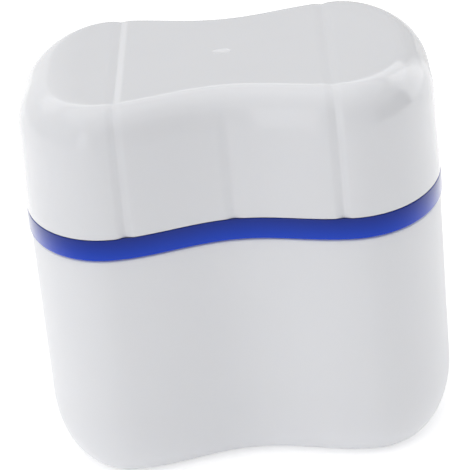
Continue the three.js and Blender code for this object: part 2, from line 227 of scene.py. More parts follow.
def rounded(start, end, corner, steps=4):
    """Insets and heights round a corner, from a point before it to one after it."""
    out = []
    for k in range(steps + 1):
        t = k / steps
        a = (1 - t) ** 2
        b = 2 * t * (1 - t)
        c = t**2
        out.append(tuple(a * start[i] + b * corner[i] + c * end[i] for i in (0, 1)))
    return out


def loft(rings, closed=False):
    """Vertices and faces of a skin through rings, capped flat unless it closes on itself."""
    count = len(rings[0])
    verts = np.concatenate(rings)
    faces = []
    bands = len(rings) if closed else len(rings) - 1
    for k in range(bands):
        low, high = k * count, ((k + 1) % len(rings)) * count
        for i in range(count):
            n = (i + 1) % count
            faces.append((low + i, low + n, high + n, high + i))
    if not closed:
        last = (len(rings) - 1) * count
        faces.append(tuple(reversed(range(count))))
        faces.append(tuple(range(last, last + count)))
    return verts, faces


def make_object(name, verts, faces, smooth_angle=SMOOTH_ANGLE):
    mesh = bpy.data.meshes.new(name)
    mesh.from_pydata([tuple(v * MM) for v in np.asarray(verts)], [], faces)
    mesh.validate()
    obj = bpy.data.objects.new(name, mesh)
    bpy.context.scene.collection.objects.link(obj)
    smooth(obj, smooth_angle)
    return obj


def smooth(obj, angle):
    mesh = obj.data
    mesh.shade_smooth()
    mesh.set_sharp_from_angle(angle=math.radians(angle))


def apply_modifiers(obj):
    graph = bpy.context.evaluated_depsgraph_get()
    mesh = bpy.data.meshes.new_from_object(obj.evaluated_get(graph))
    mesh.name = obj.name
    obj.modifiers.clear()
    obj.data = mesh


def combine(obj, tool, operation):
    """Joins a tool to an object or cuts it away, and removes the tool."""
    mod = obj.modifiers.new("combine", "BOOLEAN")
    mod.operation = operation
    mod.solver = "MANIFOLD"
    mod.object = tool
    apply_modifiers(obj)
    bpy.data.objects.remove(tool)
    clear_slivers(obj)


def clear_slivers(obj):
    """Takes out the faces without area that cutting and joining leave."""
    mesh = bmesh.new()
    mesh.from_mesh(obj.data)
    bmesh.ops.remove_doubles(mesh, verts=mesh.verts, dist=SLIVER)
    bmesh.ops.triangulate(mesh, faces=[face for face in mesh.faces if len(face.verts) > 4])
    bmesh.ops.dissolve_degenerate(mesh, dist=SLIVER, edges=mesh.edges)
    mesh.to_mesh(obj.data)
    mesh.free()


def join(name, parts):
    """One mesh object from several (verts, faces) parts."""
    verts, faces, offset = [], [], 0
    for v, f in parts:
        verts.append(np.asarray(v, dtype=float))
        faces.extend(tuple(i + offset for i in face) for face in f)
        offset += len(v)
    return make_object(name, np.concatenate(verts), faces)


def lathe_x(profile, side):
    """A round piece about the handle's axis; profile holds (x, radius) from one end to the other."""
    sides = ROUND_SIDES
    verts, faces = [], []
    for x, r in profile:
        for k in range(sides):
            a = 2 * math.pi * k / sides
            verts.append((side * x, r * math.cos(a), AXIS_Z + r * math.sin(a)))
    rows = len(profile)
    for j in range(rows - 1):
        for k in range(sides):
            n = (k + 1) % sides
            face = (j * sides + k, (j + 1) * sides + k, (j + 1) * sides + n, j * sides + n)
            faces.append(face if side < 0 else face[::-1])
    first = tuple(range(sides))
    last = tuple(range((rows - 1) * sides, rows * sides))
    faces.append(first if side < 0 else first[::-1])
    faces.append(last[::-1] if side < 0 else last)
    return verts, faces


# Lid


def shoulder_level(turn, wall, turn_at_side=None):
    """One level of the lid's shoulder, at a turn of its elliptical section from the wall upwards."""
    lean = LID_DRAFT * (TOP - SHOULDER_HEIGHT - LID_BOTTOM)
    sideways = math.cos(turn if turn_at_side is None else turn_at_side)
    side = lean + SHOULDER_SIDE * (1 - sideways) + wall * sideways
    front = lean + SHOULDER_FRONT * (1 - math.cos(turn)) + wall * math.cos(turn)
    z = TOP - SHOULDER_HEIGHT + (SHOULDER_HEIGHT - wall) * math.sin(turn)
    return level(side, front, z)


def crown_turn(slope, reach):
    """How far round the shoulder its skin has the slope at which the crown starts."""
    return math.atan2(SHOULDER_HEIGHT, slope * reach)


def crown_start():
    """The level at which the shoulder gives way to the crown."""
    front = crown_turn(CROWN_FRONT_SLOPE, SHOULDER_FRONT)
    return shoulder_level(front, 0, crown_turn(CROWN_SIDE_SLOPE, SHOULDER_SIDE))


def crown_level(share):
    start = crown_start()
    side = HALF_WIDTH - start["w"] + CROWN_SIDE * share
    front = HALF_DEPTH - start["d"] + CROWN_FRONT * share
    return level(side, front, TOP)


def crown_drop(share):
    """How far the skin lies under the flat top round its edge, at a share of the crown's width."""
    outer, inner = ring(crown_level(0), True), ring(crown_level(1), True)
    width = np.linalg.norm(inner - outer, axis=1)
    outwards = np.clip((np.abs(outer[:, 0]) - LOBE_CREST_X) / (HALF_WIDTH - LOBE_CREST_X), 0, 1)
    slope = CROWN_FRONT_SLOPE + (CROWN_SIDE_SLOPE - CROWN_FRONT_SLOPE) * outwards
    return slope * width * (1 - share) ** 2 / 2


def soft_v(distance, half):
    """Depth share of a V groove with eased edges and a small round at its bottom."""
    rise = 1 - np.sqrt((distance / half) ** 2 + V_BOTTOM_ROUND**2)
    return 0.5 * (rise + np.sqrt(rise**2 + V_EDGE_ROUND**2))


def v_share(distance, half, reach):
    """The same, running out to nothing at a distance of reach."""
    return np.maximum(soft_v(distance, half) - soft_v(reach, half), 0)


def eased(share):
    """0 to 1 with a gentle start and end."""
    return share * share * (3 - 2 * share)


def groove_depth(points, turn):
    """How deep the lid's skin is pressed in at each point."""
    x, y = np.abs(points[:, 0]), np.abs(points[:, 1])
    deepest = GROOVE_DEPTH + (GROOVE_DEPTH_ON_TOP - GROOVE_DEPTH) * turn / (math.pi / 2)
    groove = deepest * v_share(np.abs(x - GROOVE_X), GROOVE_HALF, GROOVE_REACH)
    side = SIDE_CREASE_DEPTH * eased(max(0.0, 1 - turn / math.radians(SIDE_CREASE_FADE)))
    side = side * np.where(x > LOBE_CREST_X, v_share(y, SIDE_CREASE_HALF, SIDE_CREASE_REACH), 0)
    middle = MIDDLE_CREASE_DEPTH * eased(max(0.0, 1 - turn / math.radians(MIDDLE_CREASE_FADE)))
    middle = middle * v_share(x, MIDDLE_CREASE_HALF, MIDDLE_CREASE_REACH)
    return groove + side + middle


def outward(points):
    """Outward directions in plan round a ring."""
    along = np.roll(points, -1, 0) - np.roll(points, 1, 0)
    out = np.column_stack([along[:, 1], -along[:, 0], np.zeros(len(points))])
    return out / np.linalg.norm(out, axis=1)[:, None]


def pressed(at, turn):
    """A ring of the lid's skin with the grooves and creases pressed in."""
    points = ring(at, True)
    out = outward(points) * math.cos(turn) + np.array([0, 0, math.sin(turn)])
    return points - out * groove_depth(points, turn)[:, None]


def dish_tool():
    """A round cutter for the gate mark: a shallow dish that runs out in the flat top."""
    sides = 64
    profile = [(0.0, GATE_DEPTH)]
    for k in range(1, 9):
        share = k / 8
        profile.append((GATE_RADIUS * share, GATE_DEPTH * (1 - share**2)))
    rim = GATE_RADIUS * 1.04
    profile[-1] = (rim, -0.02)
    profile += [(rim, -0.5), (0.0, -0.5)]
    verts, faces = [], []
    for r, depth in profile[1:-1]:
        for k in range(sides):
            a = 2 * math.pi * k / sides
            verts.append((r * math.cos(a), r * math.sin(a), TOP - depth))
    rows = len(profile) - 2
    for j in range(rows - 1):
        for k in range(sides):
            n = (k + 1) % sides
            faces.append((j * sides + k, j * sides + n, (j + 1) * sides + n, (j + 1) * sides + k))
    low, high = len(verts), len(verts) + 1
    verts += [(0, 0, TOP - GATE_DEPTH), (0, 0, TOP + 0.5)]
    last = (rows - 1) * sides
    for k in range(sides):
        n = (k + 1) % sides
        faces.append((low, n, k))
        faces.append((high, last + k, last + n))
    return verts, faces


def lid_inside():
    """Rings from the middle of the lid's inside down to the inner edge of its wall."""
    rings = []
    for k in range(13):
        rings.append(ring(shoulder_level(math.pi / 2 * (1 - k / 12), LID_WALL), True))
    edge = [(LID_WALL, LID_BOTTOM + LID_EDGE_ROUND), (LID_WALL - LID_EDGE_ROUND / 2, LID_BOTTOM)]
    return rings + [plain(i, z, True) for i, z in edge]


def lid_wall():
    """Rings round the lower edge and up the outside of the wall."""
    start = LID_BOTTOM + LID_EDGE_ROUND
    rings = []
    for i, z in rounded((LID_EDGE_ROUND, LID_BOTTOM), (0.0, start), (0.0, LID_BOTTOM)):
        rings.append(pressed(level(i, i, z), 0))
    lean = LID_DRAFT * (TOP - SHOULDER_HEIGHT - LID_BOTTOM)
    for k in range(1, WALL_STEPS):
        t = k / WALL_STEPS
        z = start + t * (TOP - SHOULDER_HEIGHT - LID_BOTTOM - LID_EDGE_ROUND)
        rings.append(pressed(level(lean * t, lean * t, z), 0))
    return rings


def lid_shoulder():
    front_turn = crown_turn(CROWN_FRONT_SLOPE, SHOULDER_FRONT)
    side_turn = crown_turn(CROWN_SIDE_SLOPE, SHOULDER_SIDE)
    drop = crown_drop(0) - (TOP - crown_start()["z"])
    rings = []
    for k in range(SHOULDER_STEPS + 1):
        turn = front_turn * k / SHOULDER_STEPS
        points = pressed(shoulder_level(turn, 0, side_turn * k / SHOULDER_STEPS), turn)
        points[:, 2] -= drop
        rings.append(points)
    return rings


def lid_crown():
    rings = []
    for k in range(1, CROWN_STEPS + 1):
        share = k / CROWN_STEPS
        points = pressed(crown_level(share), math.pi / 2)
        points[:, 2] -= crown_drop(share)
        rings.append(points)
    return rings


def strips_across(start, count):
    """Faces that close the last ring with strips from its back to its front."""
    faces = []
    for i in range(count // 2):
        back = [start + i, start + i + 1]
        front = [start + count - i - 1, start + (count - i) % count]
        face = tuple(dict.fromkeys(back + front))
        if len(face) > 2:
            faces.append(face)
    return faces


def make_lid():
    rings = lid_inside() + lid_wall() + lid_shoulder() + lid_crown()
    verts, faces = loft(rings)
    count = len(rings[0])
    faces.pop()
    faces += strips_across((len(rings) - 1) * count, count)
    lid = make_object("lid_shell", verts, faces, LID_SMOOTH_ANGLE)
    combine(lid, join("gate_tool", [dish_tool()]), "DIFFERENCE")
    smooth(lid, LID_SMOOTH_ANGLE)
    for face in lid.data.polygons:
        if face.normal.z > 0.999999:
            face.use_smooth = False
    return lid


# Cup


def foot_rings(wall):
    """Rings up the rounded foot, outside for a wall of 0 and inside for the wall's thickness."""
    rings = []
    lean = CUP_DRAFT * CUP_HEIGHT
    for k in range(19):
        turn = math.pi / 2 * (1 - k / 18)
        c, s = math.cos(turn), math.sin(turn)
        side = CUP_SETBACK + lean + FOOT_SIDE * (1 - c) + wall * c
        front = CUP_SETBACK + lean + FOOT_FRONT * (1 - c) + wall * c
        floor = CUP_FLOOR if wall else 0
        rings.append(ring(level(side, front, FOOT_HEIGHT * (1 - s) + floor * s)))
    return rings


def cup_rim():
    """The section from the ledge over the tongue to the inside of the wall."""
    out, low, high = CUP_SETBACK, CUP_LEDGE, CUP_HEIGHT + TONGUE_HEIGHT
    edge = high - TONGUE_ROUND
    path = rounded((out, low - LEDGE_ROUND), (out + LEDGE_ROUND, low), (out, low), 5)
    path += [(TONGUE_OUT - 0.05, low), (TONGUE_OUT, low + 0.2)]
    path += rounded((TONGUE_OUT, edge), (TONGUE_OUT + TONGUE_ROUND, high), (TONGUE_OUT, high), 3)
    path += rounded((TONGUE_IN - TONGUE_ROUND, high), (TONGUE_IN, edge), (TONGUE_IN, high), 3)
    path.append((TONGUE_IN, low - TONGUE_HEIGHT))
    return path


def make_cup():
    lean = CUP_DRAFT * CUP_HEIGHT
    rings = foot_rings(0)
    for k in range(1, 6):
        t = k / 6
        z = FOOT_HEIGHT + t * (CUP_LEDGE - FOOT_HEIGHT)
        rings.append(plain(CUP_SETBACK + lean * (1 - t), z))
    rings += [plain(i, z) for i, z in cup_rim()]
    rings += foot_rings(CUP_WALL)[::-1]
    return make_object("cup_shell", *loft(rings))


# Basket


def basket_foot(inset, radius, floor):
    rings = []
    for k in range(11):
        turn = math.pi / 2 * (1 - k / 10)
        z = floor + radius * (1 - math.sin(turn))
        rings.append(plain(inset + radius * (1 - math.cos(turn)), z))
    return rings


def basket_rim():
    """The section round the skirt, which is the blue line, and over the lip with the seal's groove."""
    path = [(BASKET_OUT, WEB_UNDER), (SKIRT, WEB_UNDER)]
    path += rounded((SKIRT, BAND_BOTTOM + 0.2), (SKIRT - 0.2, BAND_BOTTOM), (SKIRT, BAND_BOTTOM), 2)
    path += rounded((0.3, BAND_BOTTOM), (0.0, BAND_BOTTOM + 0.3), (0.0, BAND_BOTTOM), 4)
    path += rounded((0.0, BAND_TOP - 0.2), (0.2, BAND_TOP), (0.0, BAND_TOP), 4)
    path += [(LIP_OUT, BAND_TOP), (LIP_OUT, SEAL_LOW), (SEAL_FLOOR, SEAL_LOW)]
    path += [(SEAL_FLOOR, SEAL_GROOVE_TOP), (LIP_OUT, SEAL_GROOVE_TOP)]
    edge = LIP_TOP - LIP_ROUND
    path += rounded((LIP_OUT, edge), (LIP_OUT + LIP_ROUND, LIP_TOP), (LIP_OUT, LIP_TOP), 4)
    path += rounded((BASKET_IN - LIP_ROUND, LIP_TOP), (BASKET_IN, edge), (BASKET_IN, LIP_TOP), 4)
    path.append((BASKET_IN, WEB_UNDER))
    return path


def box_part(xs, ys, zs):
    """A box between two values on each axis."""
    x0, x1 = sorted(xs)
    y0, y1 = ys
    verts = [(x, y, z) for z in zs for x, y in ((x0, y0), (x1, y0), (x1, y1), (x0, y1))]
    faces = [(3, 2, 1, 0), (4, 5, 6, 7), (0, 1, 5, 4), (1, 2, 6, 5), (2, 3, 7, 6), (3, 0, 4, 7)]
    return verts, faces


def pads_tool():
    """The handle's two pads and four stops, with small rounds on their edges."""
    wall_x = HALF_WIDTH - BASKET_IN - 0.1
    top = AXIS_Z - BAR_HEIGHT / 2 - STOP_GAP
    pad_ys = (-PAD_HALF_WIDTH, PAD_HALF_WIDTH)
    pad_zs = (AXIS_Z - PAD_HALF_HEIGHT, AXIS_Z + PAD_HALF_HEIGHT)
    parts = []
    for side in (-1, 1):
        parts.append(box_part((side * BOSS_FACE, side * (wall_x + 0.7)), pad_ys, pad_zs))
        stop_xs = (side * (ARM_X - STOP_REACH), side * wall_x)
        for y in (-STOP_Y, STOP_Y):
            stop_ys = (y - STOP_HALF_WIDTH, y + STOP_HALF_WIDTH)
            parts.append(box_part(stop_xs, stop_ys, (top - STOP_HEIGHT, top)))
    tool = join("pads_tool", parts)
    bevel = tool.modifiers.new("bevel", "BEVEL")
    bevel.width = PAD_ROUND * MM
    bevel.segments = 3
    apply_modifiers(tool)
    return tool


def prism(points, low, high, matrix):
    """A flat outline drawn out between two heights and placed by a matrix."""
    n = len(points)
    verts = [matrix @ Vector((x, y, z)) for z in (low, high) for x, y in points]
    faces = [tuple(reversed(range(n))), tuple(range(n, 2 * n))]
    faces += [(i, (i + 1) % n, n + (i + 1) % n, n + i) for i in range(n)]
    return [tuple(v) for v in verts], faces


def slot_outline():
    half = (SLOT_HIGH - SLOT_LOW - SLOT_WIDTH) / 2
    r = SLOT_WIDTH / 2
    outline = []
    for start, middle in ((0.0, half), (math.pi, -half)):
        for k in range(13):
            a = start + math.pi * k / 12
            outline.append((r * math.cos(a), middle + r * math.sin(a)))
    return outline


def slot_parts():
    """Cutters for the slots, at even steps round the wall and square to it."""
    points = plain(BASKET_IN, 0)[:, :2]
    steps = np.linalg.norm(np.roll(points, -1, 0) - points, axis=1)
    reached = np.concatenate([[0], np.cumsum(steps)])
    outline = slot_outline()
    parts = []
    for k in range(SLOT_COUNT):
        s = (k + 0.5) / SLOT_COUNT * reached[-1]
        i = int(np.searchsorted(reached, s) - 1)
        n = (i + 1) % len(points)
        along = (points[n] - points[i]) / steps[i]
        place = points[i] + along * (s - reached[i])
        out = Vector((along[1], -along[0], 0))
        up = Vector((0, 0, 1))
        across = up.cross(out)
        m = Matrix((
            (across.x, up.x, out.x, place[0]),
            (across.y, up.y, out.y, place[1]),
            (across.z, up.z, out.z, (SLOT_LOW + SLOT_HIGH) / 2),
            (0, 0, 0, 1),
        ))
        parts.append(prism(outline, -5, 5, m))
    return parts


def hole_parts():
    """Cutters for the floor's holes: all of a square grid that keep a margin to the foot."""
    inset = BASKET_OUT + BASKET_DRAFT * CUP_HEIGHT + BASKET_FOOT
    at = level(inset, inset, 0)
    room = HOLE_RADIUS + HOLE_MARGIN
    columns, rows = int(at["w"] // HOLE_PITCH), int(at["d"] // HOLE_PITCH)
    turns = [2 * math.pi * k / 28 for k in range(28)]
    circle = [(HOLE_RADIUS * math.cos(a), HOLE_RADIUS * math.sin(a)) for a in turns]
    parts = []
    for i in range(-columns, columns + 1):
        for j in range(-rows, rows + 1):
            x, y = i * HOLE_PITCH, j * HOLE_PITCH
            reach = abs(x) + room
            limit = 0 if reach >= at["w"] else min(half_depth_at(reach, at), half_depth_at(x, at))
            if abs(y) + room < limit:
                place = Matrix.Translation((x, y, BASKET_FLOOR))
                parts.append(prism(circle, -2, 3, place))
    return parts


def make_basket():
    drop = WEB_UNDER - BASKET_FLOOR
    low_out = BASKET_OUT + BASKET_DRAFT * drop
    low_in = low_out + BASKET_WALL
    rings = basket_foot(low_out, BASKET_FOOT, BASKET_FLOOR)
    rings += [plain(i, z) for i, z in basket_rim()]
    rings += basket_foot(low_in, BASKET_FOOT - BASKET_WALL, BASKET_FLOOR + BASKET_FLOOR_T)[::-1]
    basket = make_object("basket_shell", *loft(rings))
    combine(basket, pads_tool(), "UNION")
    stud_hole = [(BOSS_FACE - 1, STUD_HOLE_RADIUS), (ARM_X + STUD_HOLE_DEPTH, STUD_HOLE_RADIUS)]
    stud_holes = [lathe_x(stud_hole, side) for side in (-1, 1)]
    cutters = join("holes_tool", slot_parts() + hole_parts() + stud_holes)
    combine(basket, cutters, "DIFFERENCE")
    smooth(basket, SMOOTH_ANGLE)
    return basket


def make_seal():
    low, high, wide, tight = SEAL_BOTTOM, SEAL_TOP, SEAL_ROUND_OUT, SEAL_ROUND_IN
    path = rounded((SEAL_OUT + wide, low), (SEAL_OUT, low + wide), (SEAL_OUT, low), 4)
    path += rounded((SEAL_OUT, high - wide), (SEAL_OUT + wide, high), (SEAL_OUT, high), 4)
    path += rounded((SEAL_IN - tight, high), (SEAL_IN, high - tight), (SEAL_IN, high), 2)
    path += rounded((SEAL_IN, low + tight), (SEAL_IN - tight, low), (SEAL_IN, low), 2)
    return make_object("seal_ring", *loft([plain(i, z) for i, z in path], closed=True))


# Handle


def bow_section(half_bar, half_height, corner=0.6):
    out = []
    for sx, sz, start in ((1, 1, 0), (-1, 1, 90), (-1, -1, 180), (1, -1, 270)):
        for k in range(5):
            a = math.radians(start + 90 * k / 4)
            across = sx * (half_bar - corner) + corner * math.cos(a)
            out.append((across, sz * (half_height - corner) + corner * math.sin(a)))
    return out


def bow_path():
    """Points and outward directions along the bow, from the right eye to the left one."""
    middle_x, reach = ARM_X - BAR / 2, HANDLE_REACH - BAR / 2
    radius = HANDLE_CORNER - BAR / 2
    path = [(middle_x, y, 1.0, 0.0) for y in np.linspace(0, reach - radius, 5)]
    for k in range(1, 16):
        a = math.pi / 2 * k / 15
        c, s = math.cos(a), math.sin(a)
        path.append((middle_x - radius + radius * c, reach - radius + radius * s, c, s))
    before_grip = np.linspace(middle_x - radius, GRIP_LENGTH / 2 + 1.2, 4)[1:]
    along_grip = np.linspace(GRIP_LENGTH / 2 + GRIP_EASE / 2, 0, 14)
    path += [(x, reach, 0.0, 1.0) for x in np.concatenate([before_grip, along_grip])]
    mirrored = [(-x, y, -nx, ny) for x, y, nx, ny in path[:-1]][::-1]
    return path + mirrored


def bow_part():
    """The bow with its wider grip, as a section carried along the path."""
    rows = []
    for x, y, nx, ny in bow_path():
        inside_grip = (GRIP_LENGTH / 2 + GRIP_EASE / 2 - abs(x)) / GRIP_EASE
        grip = eased(np.clip(inside_grip, 0, 1) if ny > 0.999 else 0.0)
        half = BAR / 2 + grip * (GRIP_BAR - BAR) / 2
        shift = -grip * (GRIP_BAR - BAR) / 2
        section = bow_section(half, BAR_HEIGHT / 2)
        rows.append([(x + nx * (u + shift), y + ny * (u + shift), AXIS_Z + v) for u, v in section])
    count = len(rows[0])
    verts = [p for row in rows for p in row]
    faces = []
    for j in range(len(rows) - 1):
        for k in range(count):
            n = (k + 1) % count
            faces.append((j * count + k, (j + 1) * count + k, (j + 1) * count + n, j * count + n))
    faces.append(tuple(range(count)))
    faces.append(tuple(reversed(range(len(verts) - count, len(verts)))))
    return verts, faces


def make_handle():
    bow = join("handle_bow", [bow_part()])
    inner, outer = ARM_X - BAR - 0.05, ARM_X + 0.05
    low = EYE_RADIUS - EYE_EDGE
    eye = [(inner, low), (inner + EYE_EDGE, EYE_RADIUS), (outer - EYE_EDGE, EYE_RADIUS), (outer, low)]
    end = ARM_X + STUD_LENGTH
    stud = [(outer - 1, STUD_RADIUS), (end - STUD_EDGE, STUD_RADIUS), (end, STUD_RADIUS - STUD_EDGE)]
    for side in (-1, 1):
        for profile in (eye, stud):
            combine(bow, join("round_tool", [lathe_x(profile, side)]), "UNION")
    smooth(bow, SMOOTH_ANGLE)
    return bow


# Materials: the scales are in cells per metre, the heights in metres
NOISE_SPREAD = (0.3, 0.7)
SHARP_EDGE = (0.52, 0.62)
DRIFT_SCALE = 38.0
PATCH_SCALE = 90.0
WAVE_SCALE = 55.0
WAVE_HEIGHT = 0.0006
GRAIN_HEIGHT = 0.00005
# Share of painted shade and light in the colour of the blue line
PAINTED_SHADE_SHARE = 0.8


def new_material(name):
    mat = bpy.data.materials.new(name)
    mat.use_nodes = True
    return mat, mat.node_tree.nodes, mat.node_tree.links, mat.node_tree.nodes["Principled BSDF"]


def noise(nodes, links, coords, scale, detail):
    node = nodes.new("ShaderNodeTexNoise")
    node.inputs["Scale"].default_value = scale
    node.inputs["Detail"].default_value = detail
    node.inputs["Roughness"].default_value = 0.5
    links.new(coords.outputs["Object"], node.inputs["Vector"])
    return node


def math_node(nodes, links, operation, first, second=0.0, third=0.0):
    node = nodes.new("ShaderNodeMath")
    node.operation = operation
    for socket, value in zip(node.inputs, (first, second, third)):
        if isinstance(value, (int, float)):
            socket.default_value = value
        else:
            links.new(value, socket)
    return node.outputs[0]


def map_range(nodes, links, source, from_range, to_range):
    node = nodes.new("ShaderNodeMapRange")
    for label, value in zip(("From Min", "From Max", "To Min", "To Max"), (*from_range, *to_range)):
        node.inputs[label].default_value = value
    links.new(source, node.inputs["Value"])
    return node.outputs["Result"]


def spread(nodes, links, texture, low, high):
    """Spreads a noise over a range of values."""
    return map_range(nodes, links, texture.outputs["Fac"], NOISE_SPREAD, (low, high))


def mix_colours(nodes, links, share, first, second):
    node = nodes.new("ShaderNodeMix")
    node.data_type = "RGBA"
    for socket, value in ((node.inputs[0], share), (node.inputs[6], first), (node.inputs[7], second)):
        if isinstance(value, tuple):
            socket.default_value = (*value, 1)
        elif isinstance(value, float):
            socket.default_value = value
        else:
            links.new(value, socket)
    return node.outputs[2]


def bump_node(nodes, links, height, strength, distance):
    node = nodes.new("ShaderNodeBump")
    node.inputs["Strength"].default_value = strength
    node.inputs["Distance"].default_value = distance
    links.new(height.outputs["Fac"], node.inputs["Height"])
    return node


def moulded_plastic(name, light, dark, rough, grain, grain_scale, waves, wear, ior=1.49):
    """Moulded plastic: faint colour drift, uneven gloss, fine grain, slow waves and rubbed edges."""
    mat, nodes, links, shader = new_material(name)
    coords = nodes.new("ShaderNodeTexCoord")
    drift = noise(nodes, links, coords, DRIFT_SCALE, 2.0)
    colour = mix_colours(nodes, links, spread(nodes, links, drift, 0.0, 1.0), dark, light)
    links.new(colour, shader.inputs["Base Color"])
    patches = spread(nodes, links, noise(nodes, links, coords, PATCH_SCALE, 2.0), *rough)
    pointiness = nodes.new("ShaderNodeNewGeometry").outputs["Pointiness"]
    rubbed = map_range(nodes, links, pointiness, SHARP_EDGE, (0.0, wear))
    links.new(math_node(nodes, links, "ADD", patches, rubbed), shader.inputs["Roughness"])
    slow = noise(nodes, links, coords, WAVE_SCALE, 1.0)
    wave = bump_node(nodes, links, slow, waves, WAVE_HEIGHT)
    fine = noise(nodes, links, coords, grain_scale, 2.0)
    bump = bump_node(nodes, links, fine, grain, GRAIN_HEIGHT)
    links.new(wave.outputs["Normal"], bump.inputs["Normal"])
    links.new(bump.outputs["Normal"], shader.inputs["Normal"])
    shader.inputs["IOR"].default_value = ior
    return mat, shader


def set_numbers(shader, **numbers):
    """Sets shader sockets by their names, with _ for a space."""
    for label, value in numbers.items():
        shader.inputs[label.replace("_", " ")].default_value = value


def roughen_gate(mat, extra):
    """A duller finish inside the gate mark in the middle of the lid's top."""
    nodes, links = mat.node_tree.nodes, mat.node_tree.links
    shader = nodes["Principled BSDF"]
    before = shader.inputs["Roughness"].links[0].from_socket
    coords = nodes.new("ShaderNodeTexCoord")
    distance = nodes.new("ShaderNodeVectorMath")
    distance.operation = "DISTANCE"
    distance.inputs[1].default_value = (0, 0, TOP * MM)
    links.new(coords.outputs["Object"], distance.inputs[0])
    edge = (GATE_RADIUS * MM, (GATE_RADIUS - 0.2) * MM)
    inside = map_range(nodes, links, distance.outputs["Value"], edge, (0.0, extra))
    links.new(math_node(nodes, links, "ADD", before, inside), shader.inputs["Roughness"])


def paint_shade_by_height(mat, top, bottom, low, high):
    """Paints shade and light into the colour from a lower to an upper height, in place of the shade
    and light that fall there.
    """
    nodes, links = mat.node_tree.nodes, mat.node_tree.links
    shader = nodes["Principled BSDF"]
    before = shader.inputs["Base Color"].links[0].from_socket
    coords = nodes.new("ShaderNodeTexCoord")
    axes = nodes.new("ShaderNodeSeparateXYZ")
    links.new(coords.outputs["Object"], axes.inputs["Vector"])
    height = map_range(nodes, links, axes.outputs["Z"], (low * MM, high * MM), (0.0, 1.0))
    painted_shade = mix_colours(nodes, links, height, bottom, top)
    links.new(mix_colours(nodes, links, PAINTED_SHADE_SHARE, before, painted_shade), shader.inputs["Base Color"])


def dress(obj, mat, body, node):
    obj.data.materials.clear()
    obj.data.materials.append(mat)
    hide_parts(node)
    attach(obj, body)


def let_light_in(shader):
    """White plastic lets a little light in."""
    set_numbers(shader, Subsurface_Weight=0.12, Subsurface_Scale=0.5)
    set_numbers(shader, Subsurface_Radius=(0.004, 0.0035, 0.003))


def haze(shader):
    """Blue plastic mirrors little and has a faint haze at grazing angles."""
    set_numbers(shader, Specular_IOR_Level=0.22, Sheen_Weight=1.0, Sheen_Roughness=0.3)


def gloss_white():
    mat, shader = moulded_plastic(
        "gloss_white", (0.80, 0.807, 0.835), (0.79, 0.797, 0.825), rough=(0.03, 0.05),
        grain=0.02, grain_scale=9000.0, waves=0.03, wear=0.04,
    )
    let_light_in(shader)
    roughen_gate(mat, 0.18)
    return mat


def satin_white():
    mat, shader = moulded_plastic(
        "satin_white", (0.82, 0.827, 0.853), (0.805, 0.812, 0.84), rough=(0.29, 0.33),
        grain=0.10, grain_scale=9000.0, waves=0.04, wear=0.05,
    )
    let_light_in(shader)
    return mat


def gloss_blue():
    mat, shader = moulded_plastic(
        "gloss_blue", (0.013, 0.045, 0.40), (0.010, 0.038, 0.37), rough=(0.10, 0.15),
        grain=0.05, grain_scale=9000.0, waves=0.03, wear=0.06,
    )
    # Painted shade and light on the blue line: darker at its top, where the lid's edge shades it, and
    # lighter at its bottom, where the floor lights it.
    paint_shade_by_height(mat, (0.007, 0.026, 0.24), (0.006, 0.063, 0.63), BAND_BOTTOM, BAND_TOP)
    haze(shader)
    return mat


def handle_blue():
    mat, shader = moulded_plastic(
        "handle_blue_plastic", (0.014, 0.048, 0.42), (0.011, 0.040, 0.38), rough=(0.12, 0.18),
        grain=0.05, grain_scale=9000.0, waves=0.03, wear=0.06,
    )
    haze(shader)
    return mat


def pale_silicone():
    mat, shader = moulded_plastic(
        "pale_silicone", (0.74, 0.76, 0.79), (0.70, 0.72, 0.76), rough=(0.45, 0.58),
        grain=0.12, grain_scale=7000.0, waves=0.02, wear=0.02, ior=1.41,
    )
    set_numbers(shader, Subsurface_Weight=0.35, Subsurface_Radius=(0.002, 0.002, 0.002))
    return mat


dress(make_cup(), satin_white(), "cup", "base_cup")
dress(make_basket(), gloss_blue(), "basket", "rinse_basket")
dress(make_seal(), pale_silicone(), "basket", "lid_seal")
dress(make_handle(), handle_blue(), "handle", "basket_handle")
dress(make_lid(), gloss_white(), "lid", "lid")


# Light: what stands round the object is given by its azimuth, from the back (+Y) towards the right,
# and its elevation, each as a middle and a half width in degrees, the softness of both edges, and a
# strength. The soft lamps light the object. Gloss shows a white surround, and what stands in it adds
# to the white (a lamp) or takes from it (a dim card).
LAMPS = {
    "canopy": (0, 200, 90, 45, 2, 3, 1.08),
    "overhead": (0, 200, 90, 24, 2, 3, 0.36),
    "front_high": (-135, 45, 55.5, 10.5, 3, 3, 0.16),
    "front_mid": (162, 62, 31.5, 13.5, 3, 3, 0.46),
    "left_front": (-118, 28, 17.5, 27.5, 3, 3, 0.85),
    "left": (-70, 20, 17.5, 27.5, 3, 3, 0.68),
    "back": (-15, 35, 17.5, 27.5, 3, 3, 0.48),
    "right": (60, 40, 17.5, 27.5, 3, 3, 0.56),
}
IN_GLOSS = {
    "high_lamp": (0, 200, 90, 50, 2, 2, 0.60),
    "overhead_lamp": (0, 200, 90, 24, 2, 6, 0.45),
    "back_strip": (0, 45, 26, 7.5, 3, 1, 0.30),
    "back_card": (7, 14, 4, 14.5, 2.5, 0.4, -0.38),
    "left_card": (-70, 20, 4, 14, 3, 4, -0.15),
    "right_card": (92, 32, 6, 16, 3, 3, -0.80),
    "right_lamp": (42, 16, 12, 22, 3, 4, 0.60),
    "front_left_lamp": (-137, 12, 14, 22, 1, 3, 1.00),
}

# Floor: its glow for all rays, what is added to it for rays from the camera and from gloss, its size,
# and how far behind the object the card's foot stands, both in metres
FLOOR_GLOW = 0.24
FLOOR_WHITE = 0.13
FLOOR_SIZE = 6.0
CARD_FOOT = 0.2


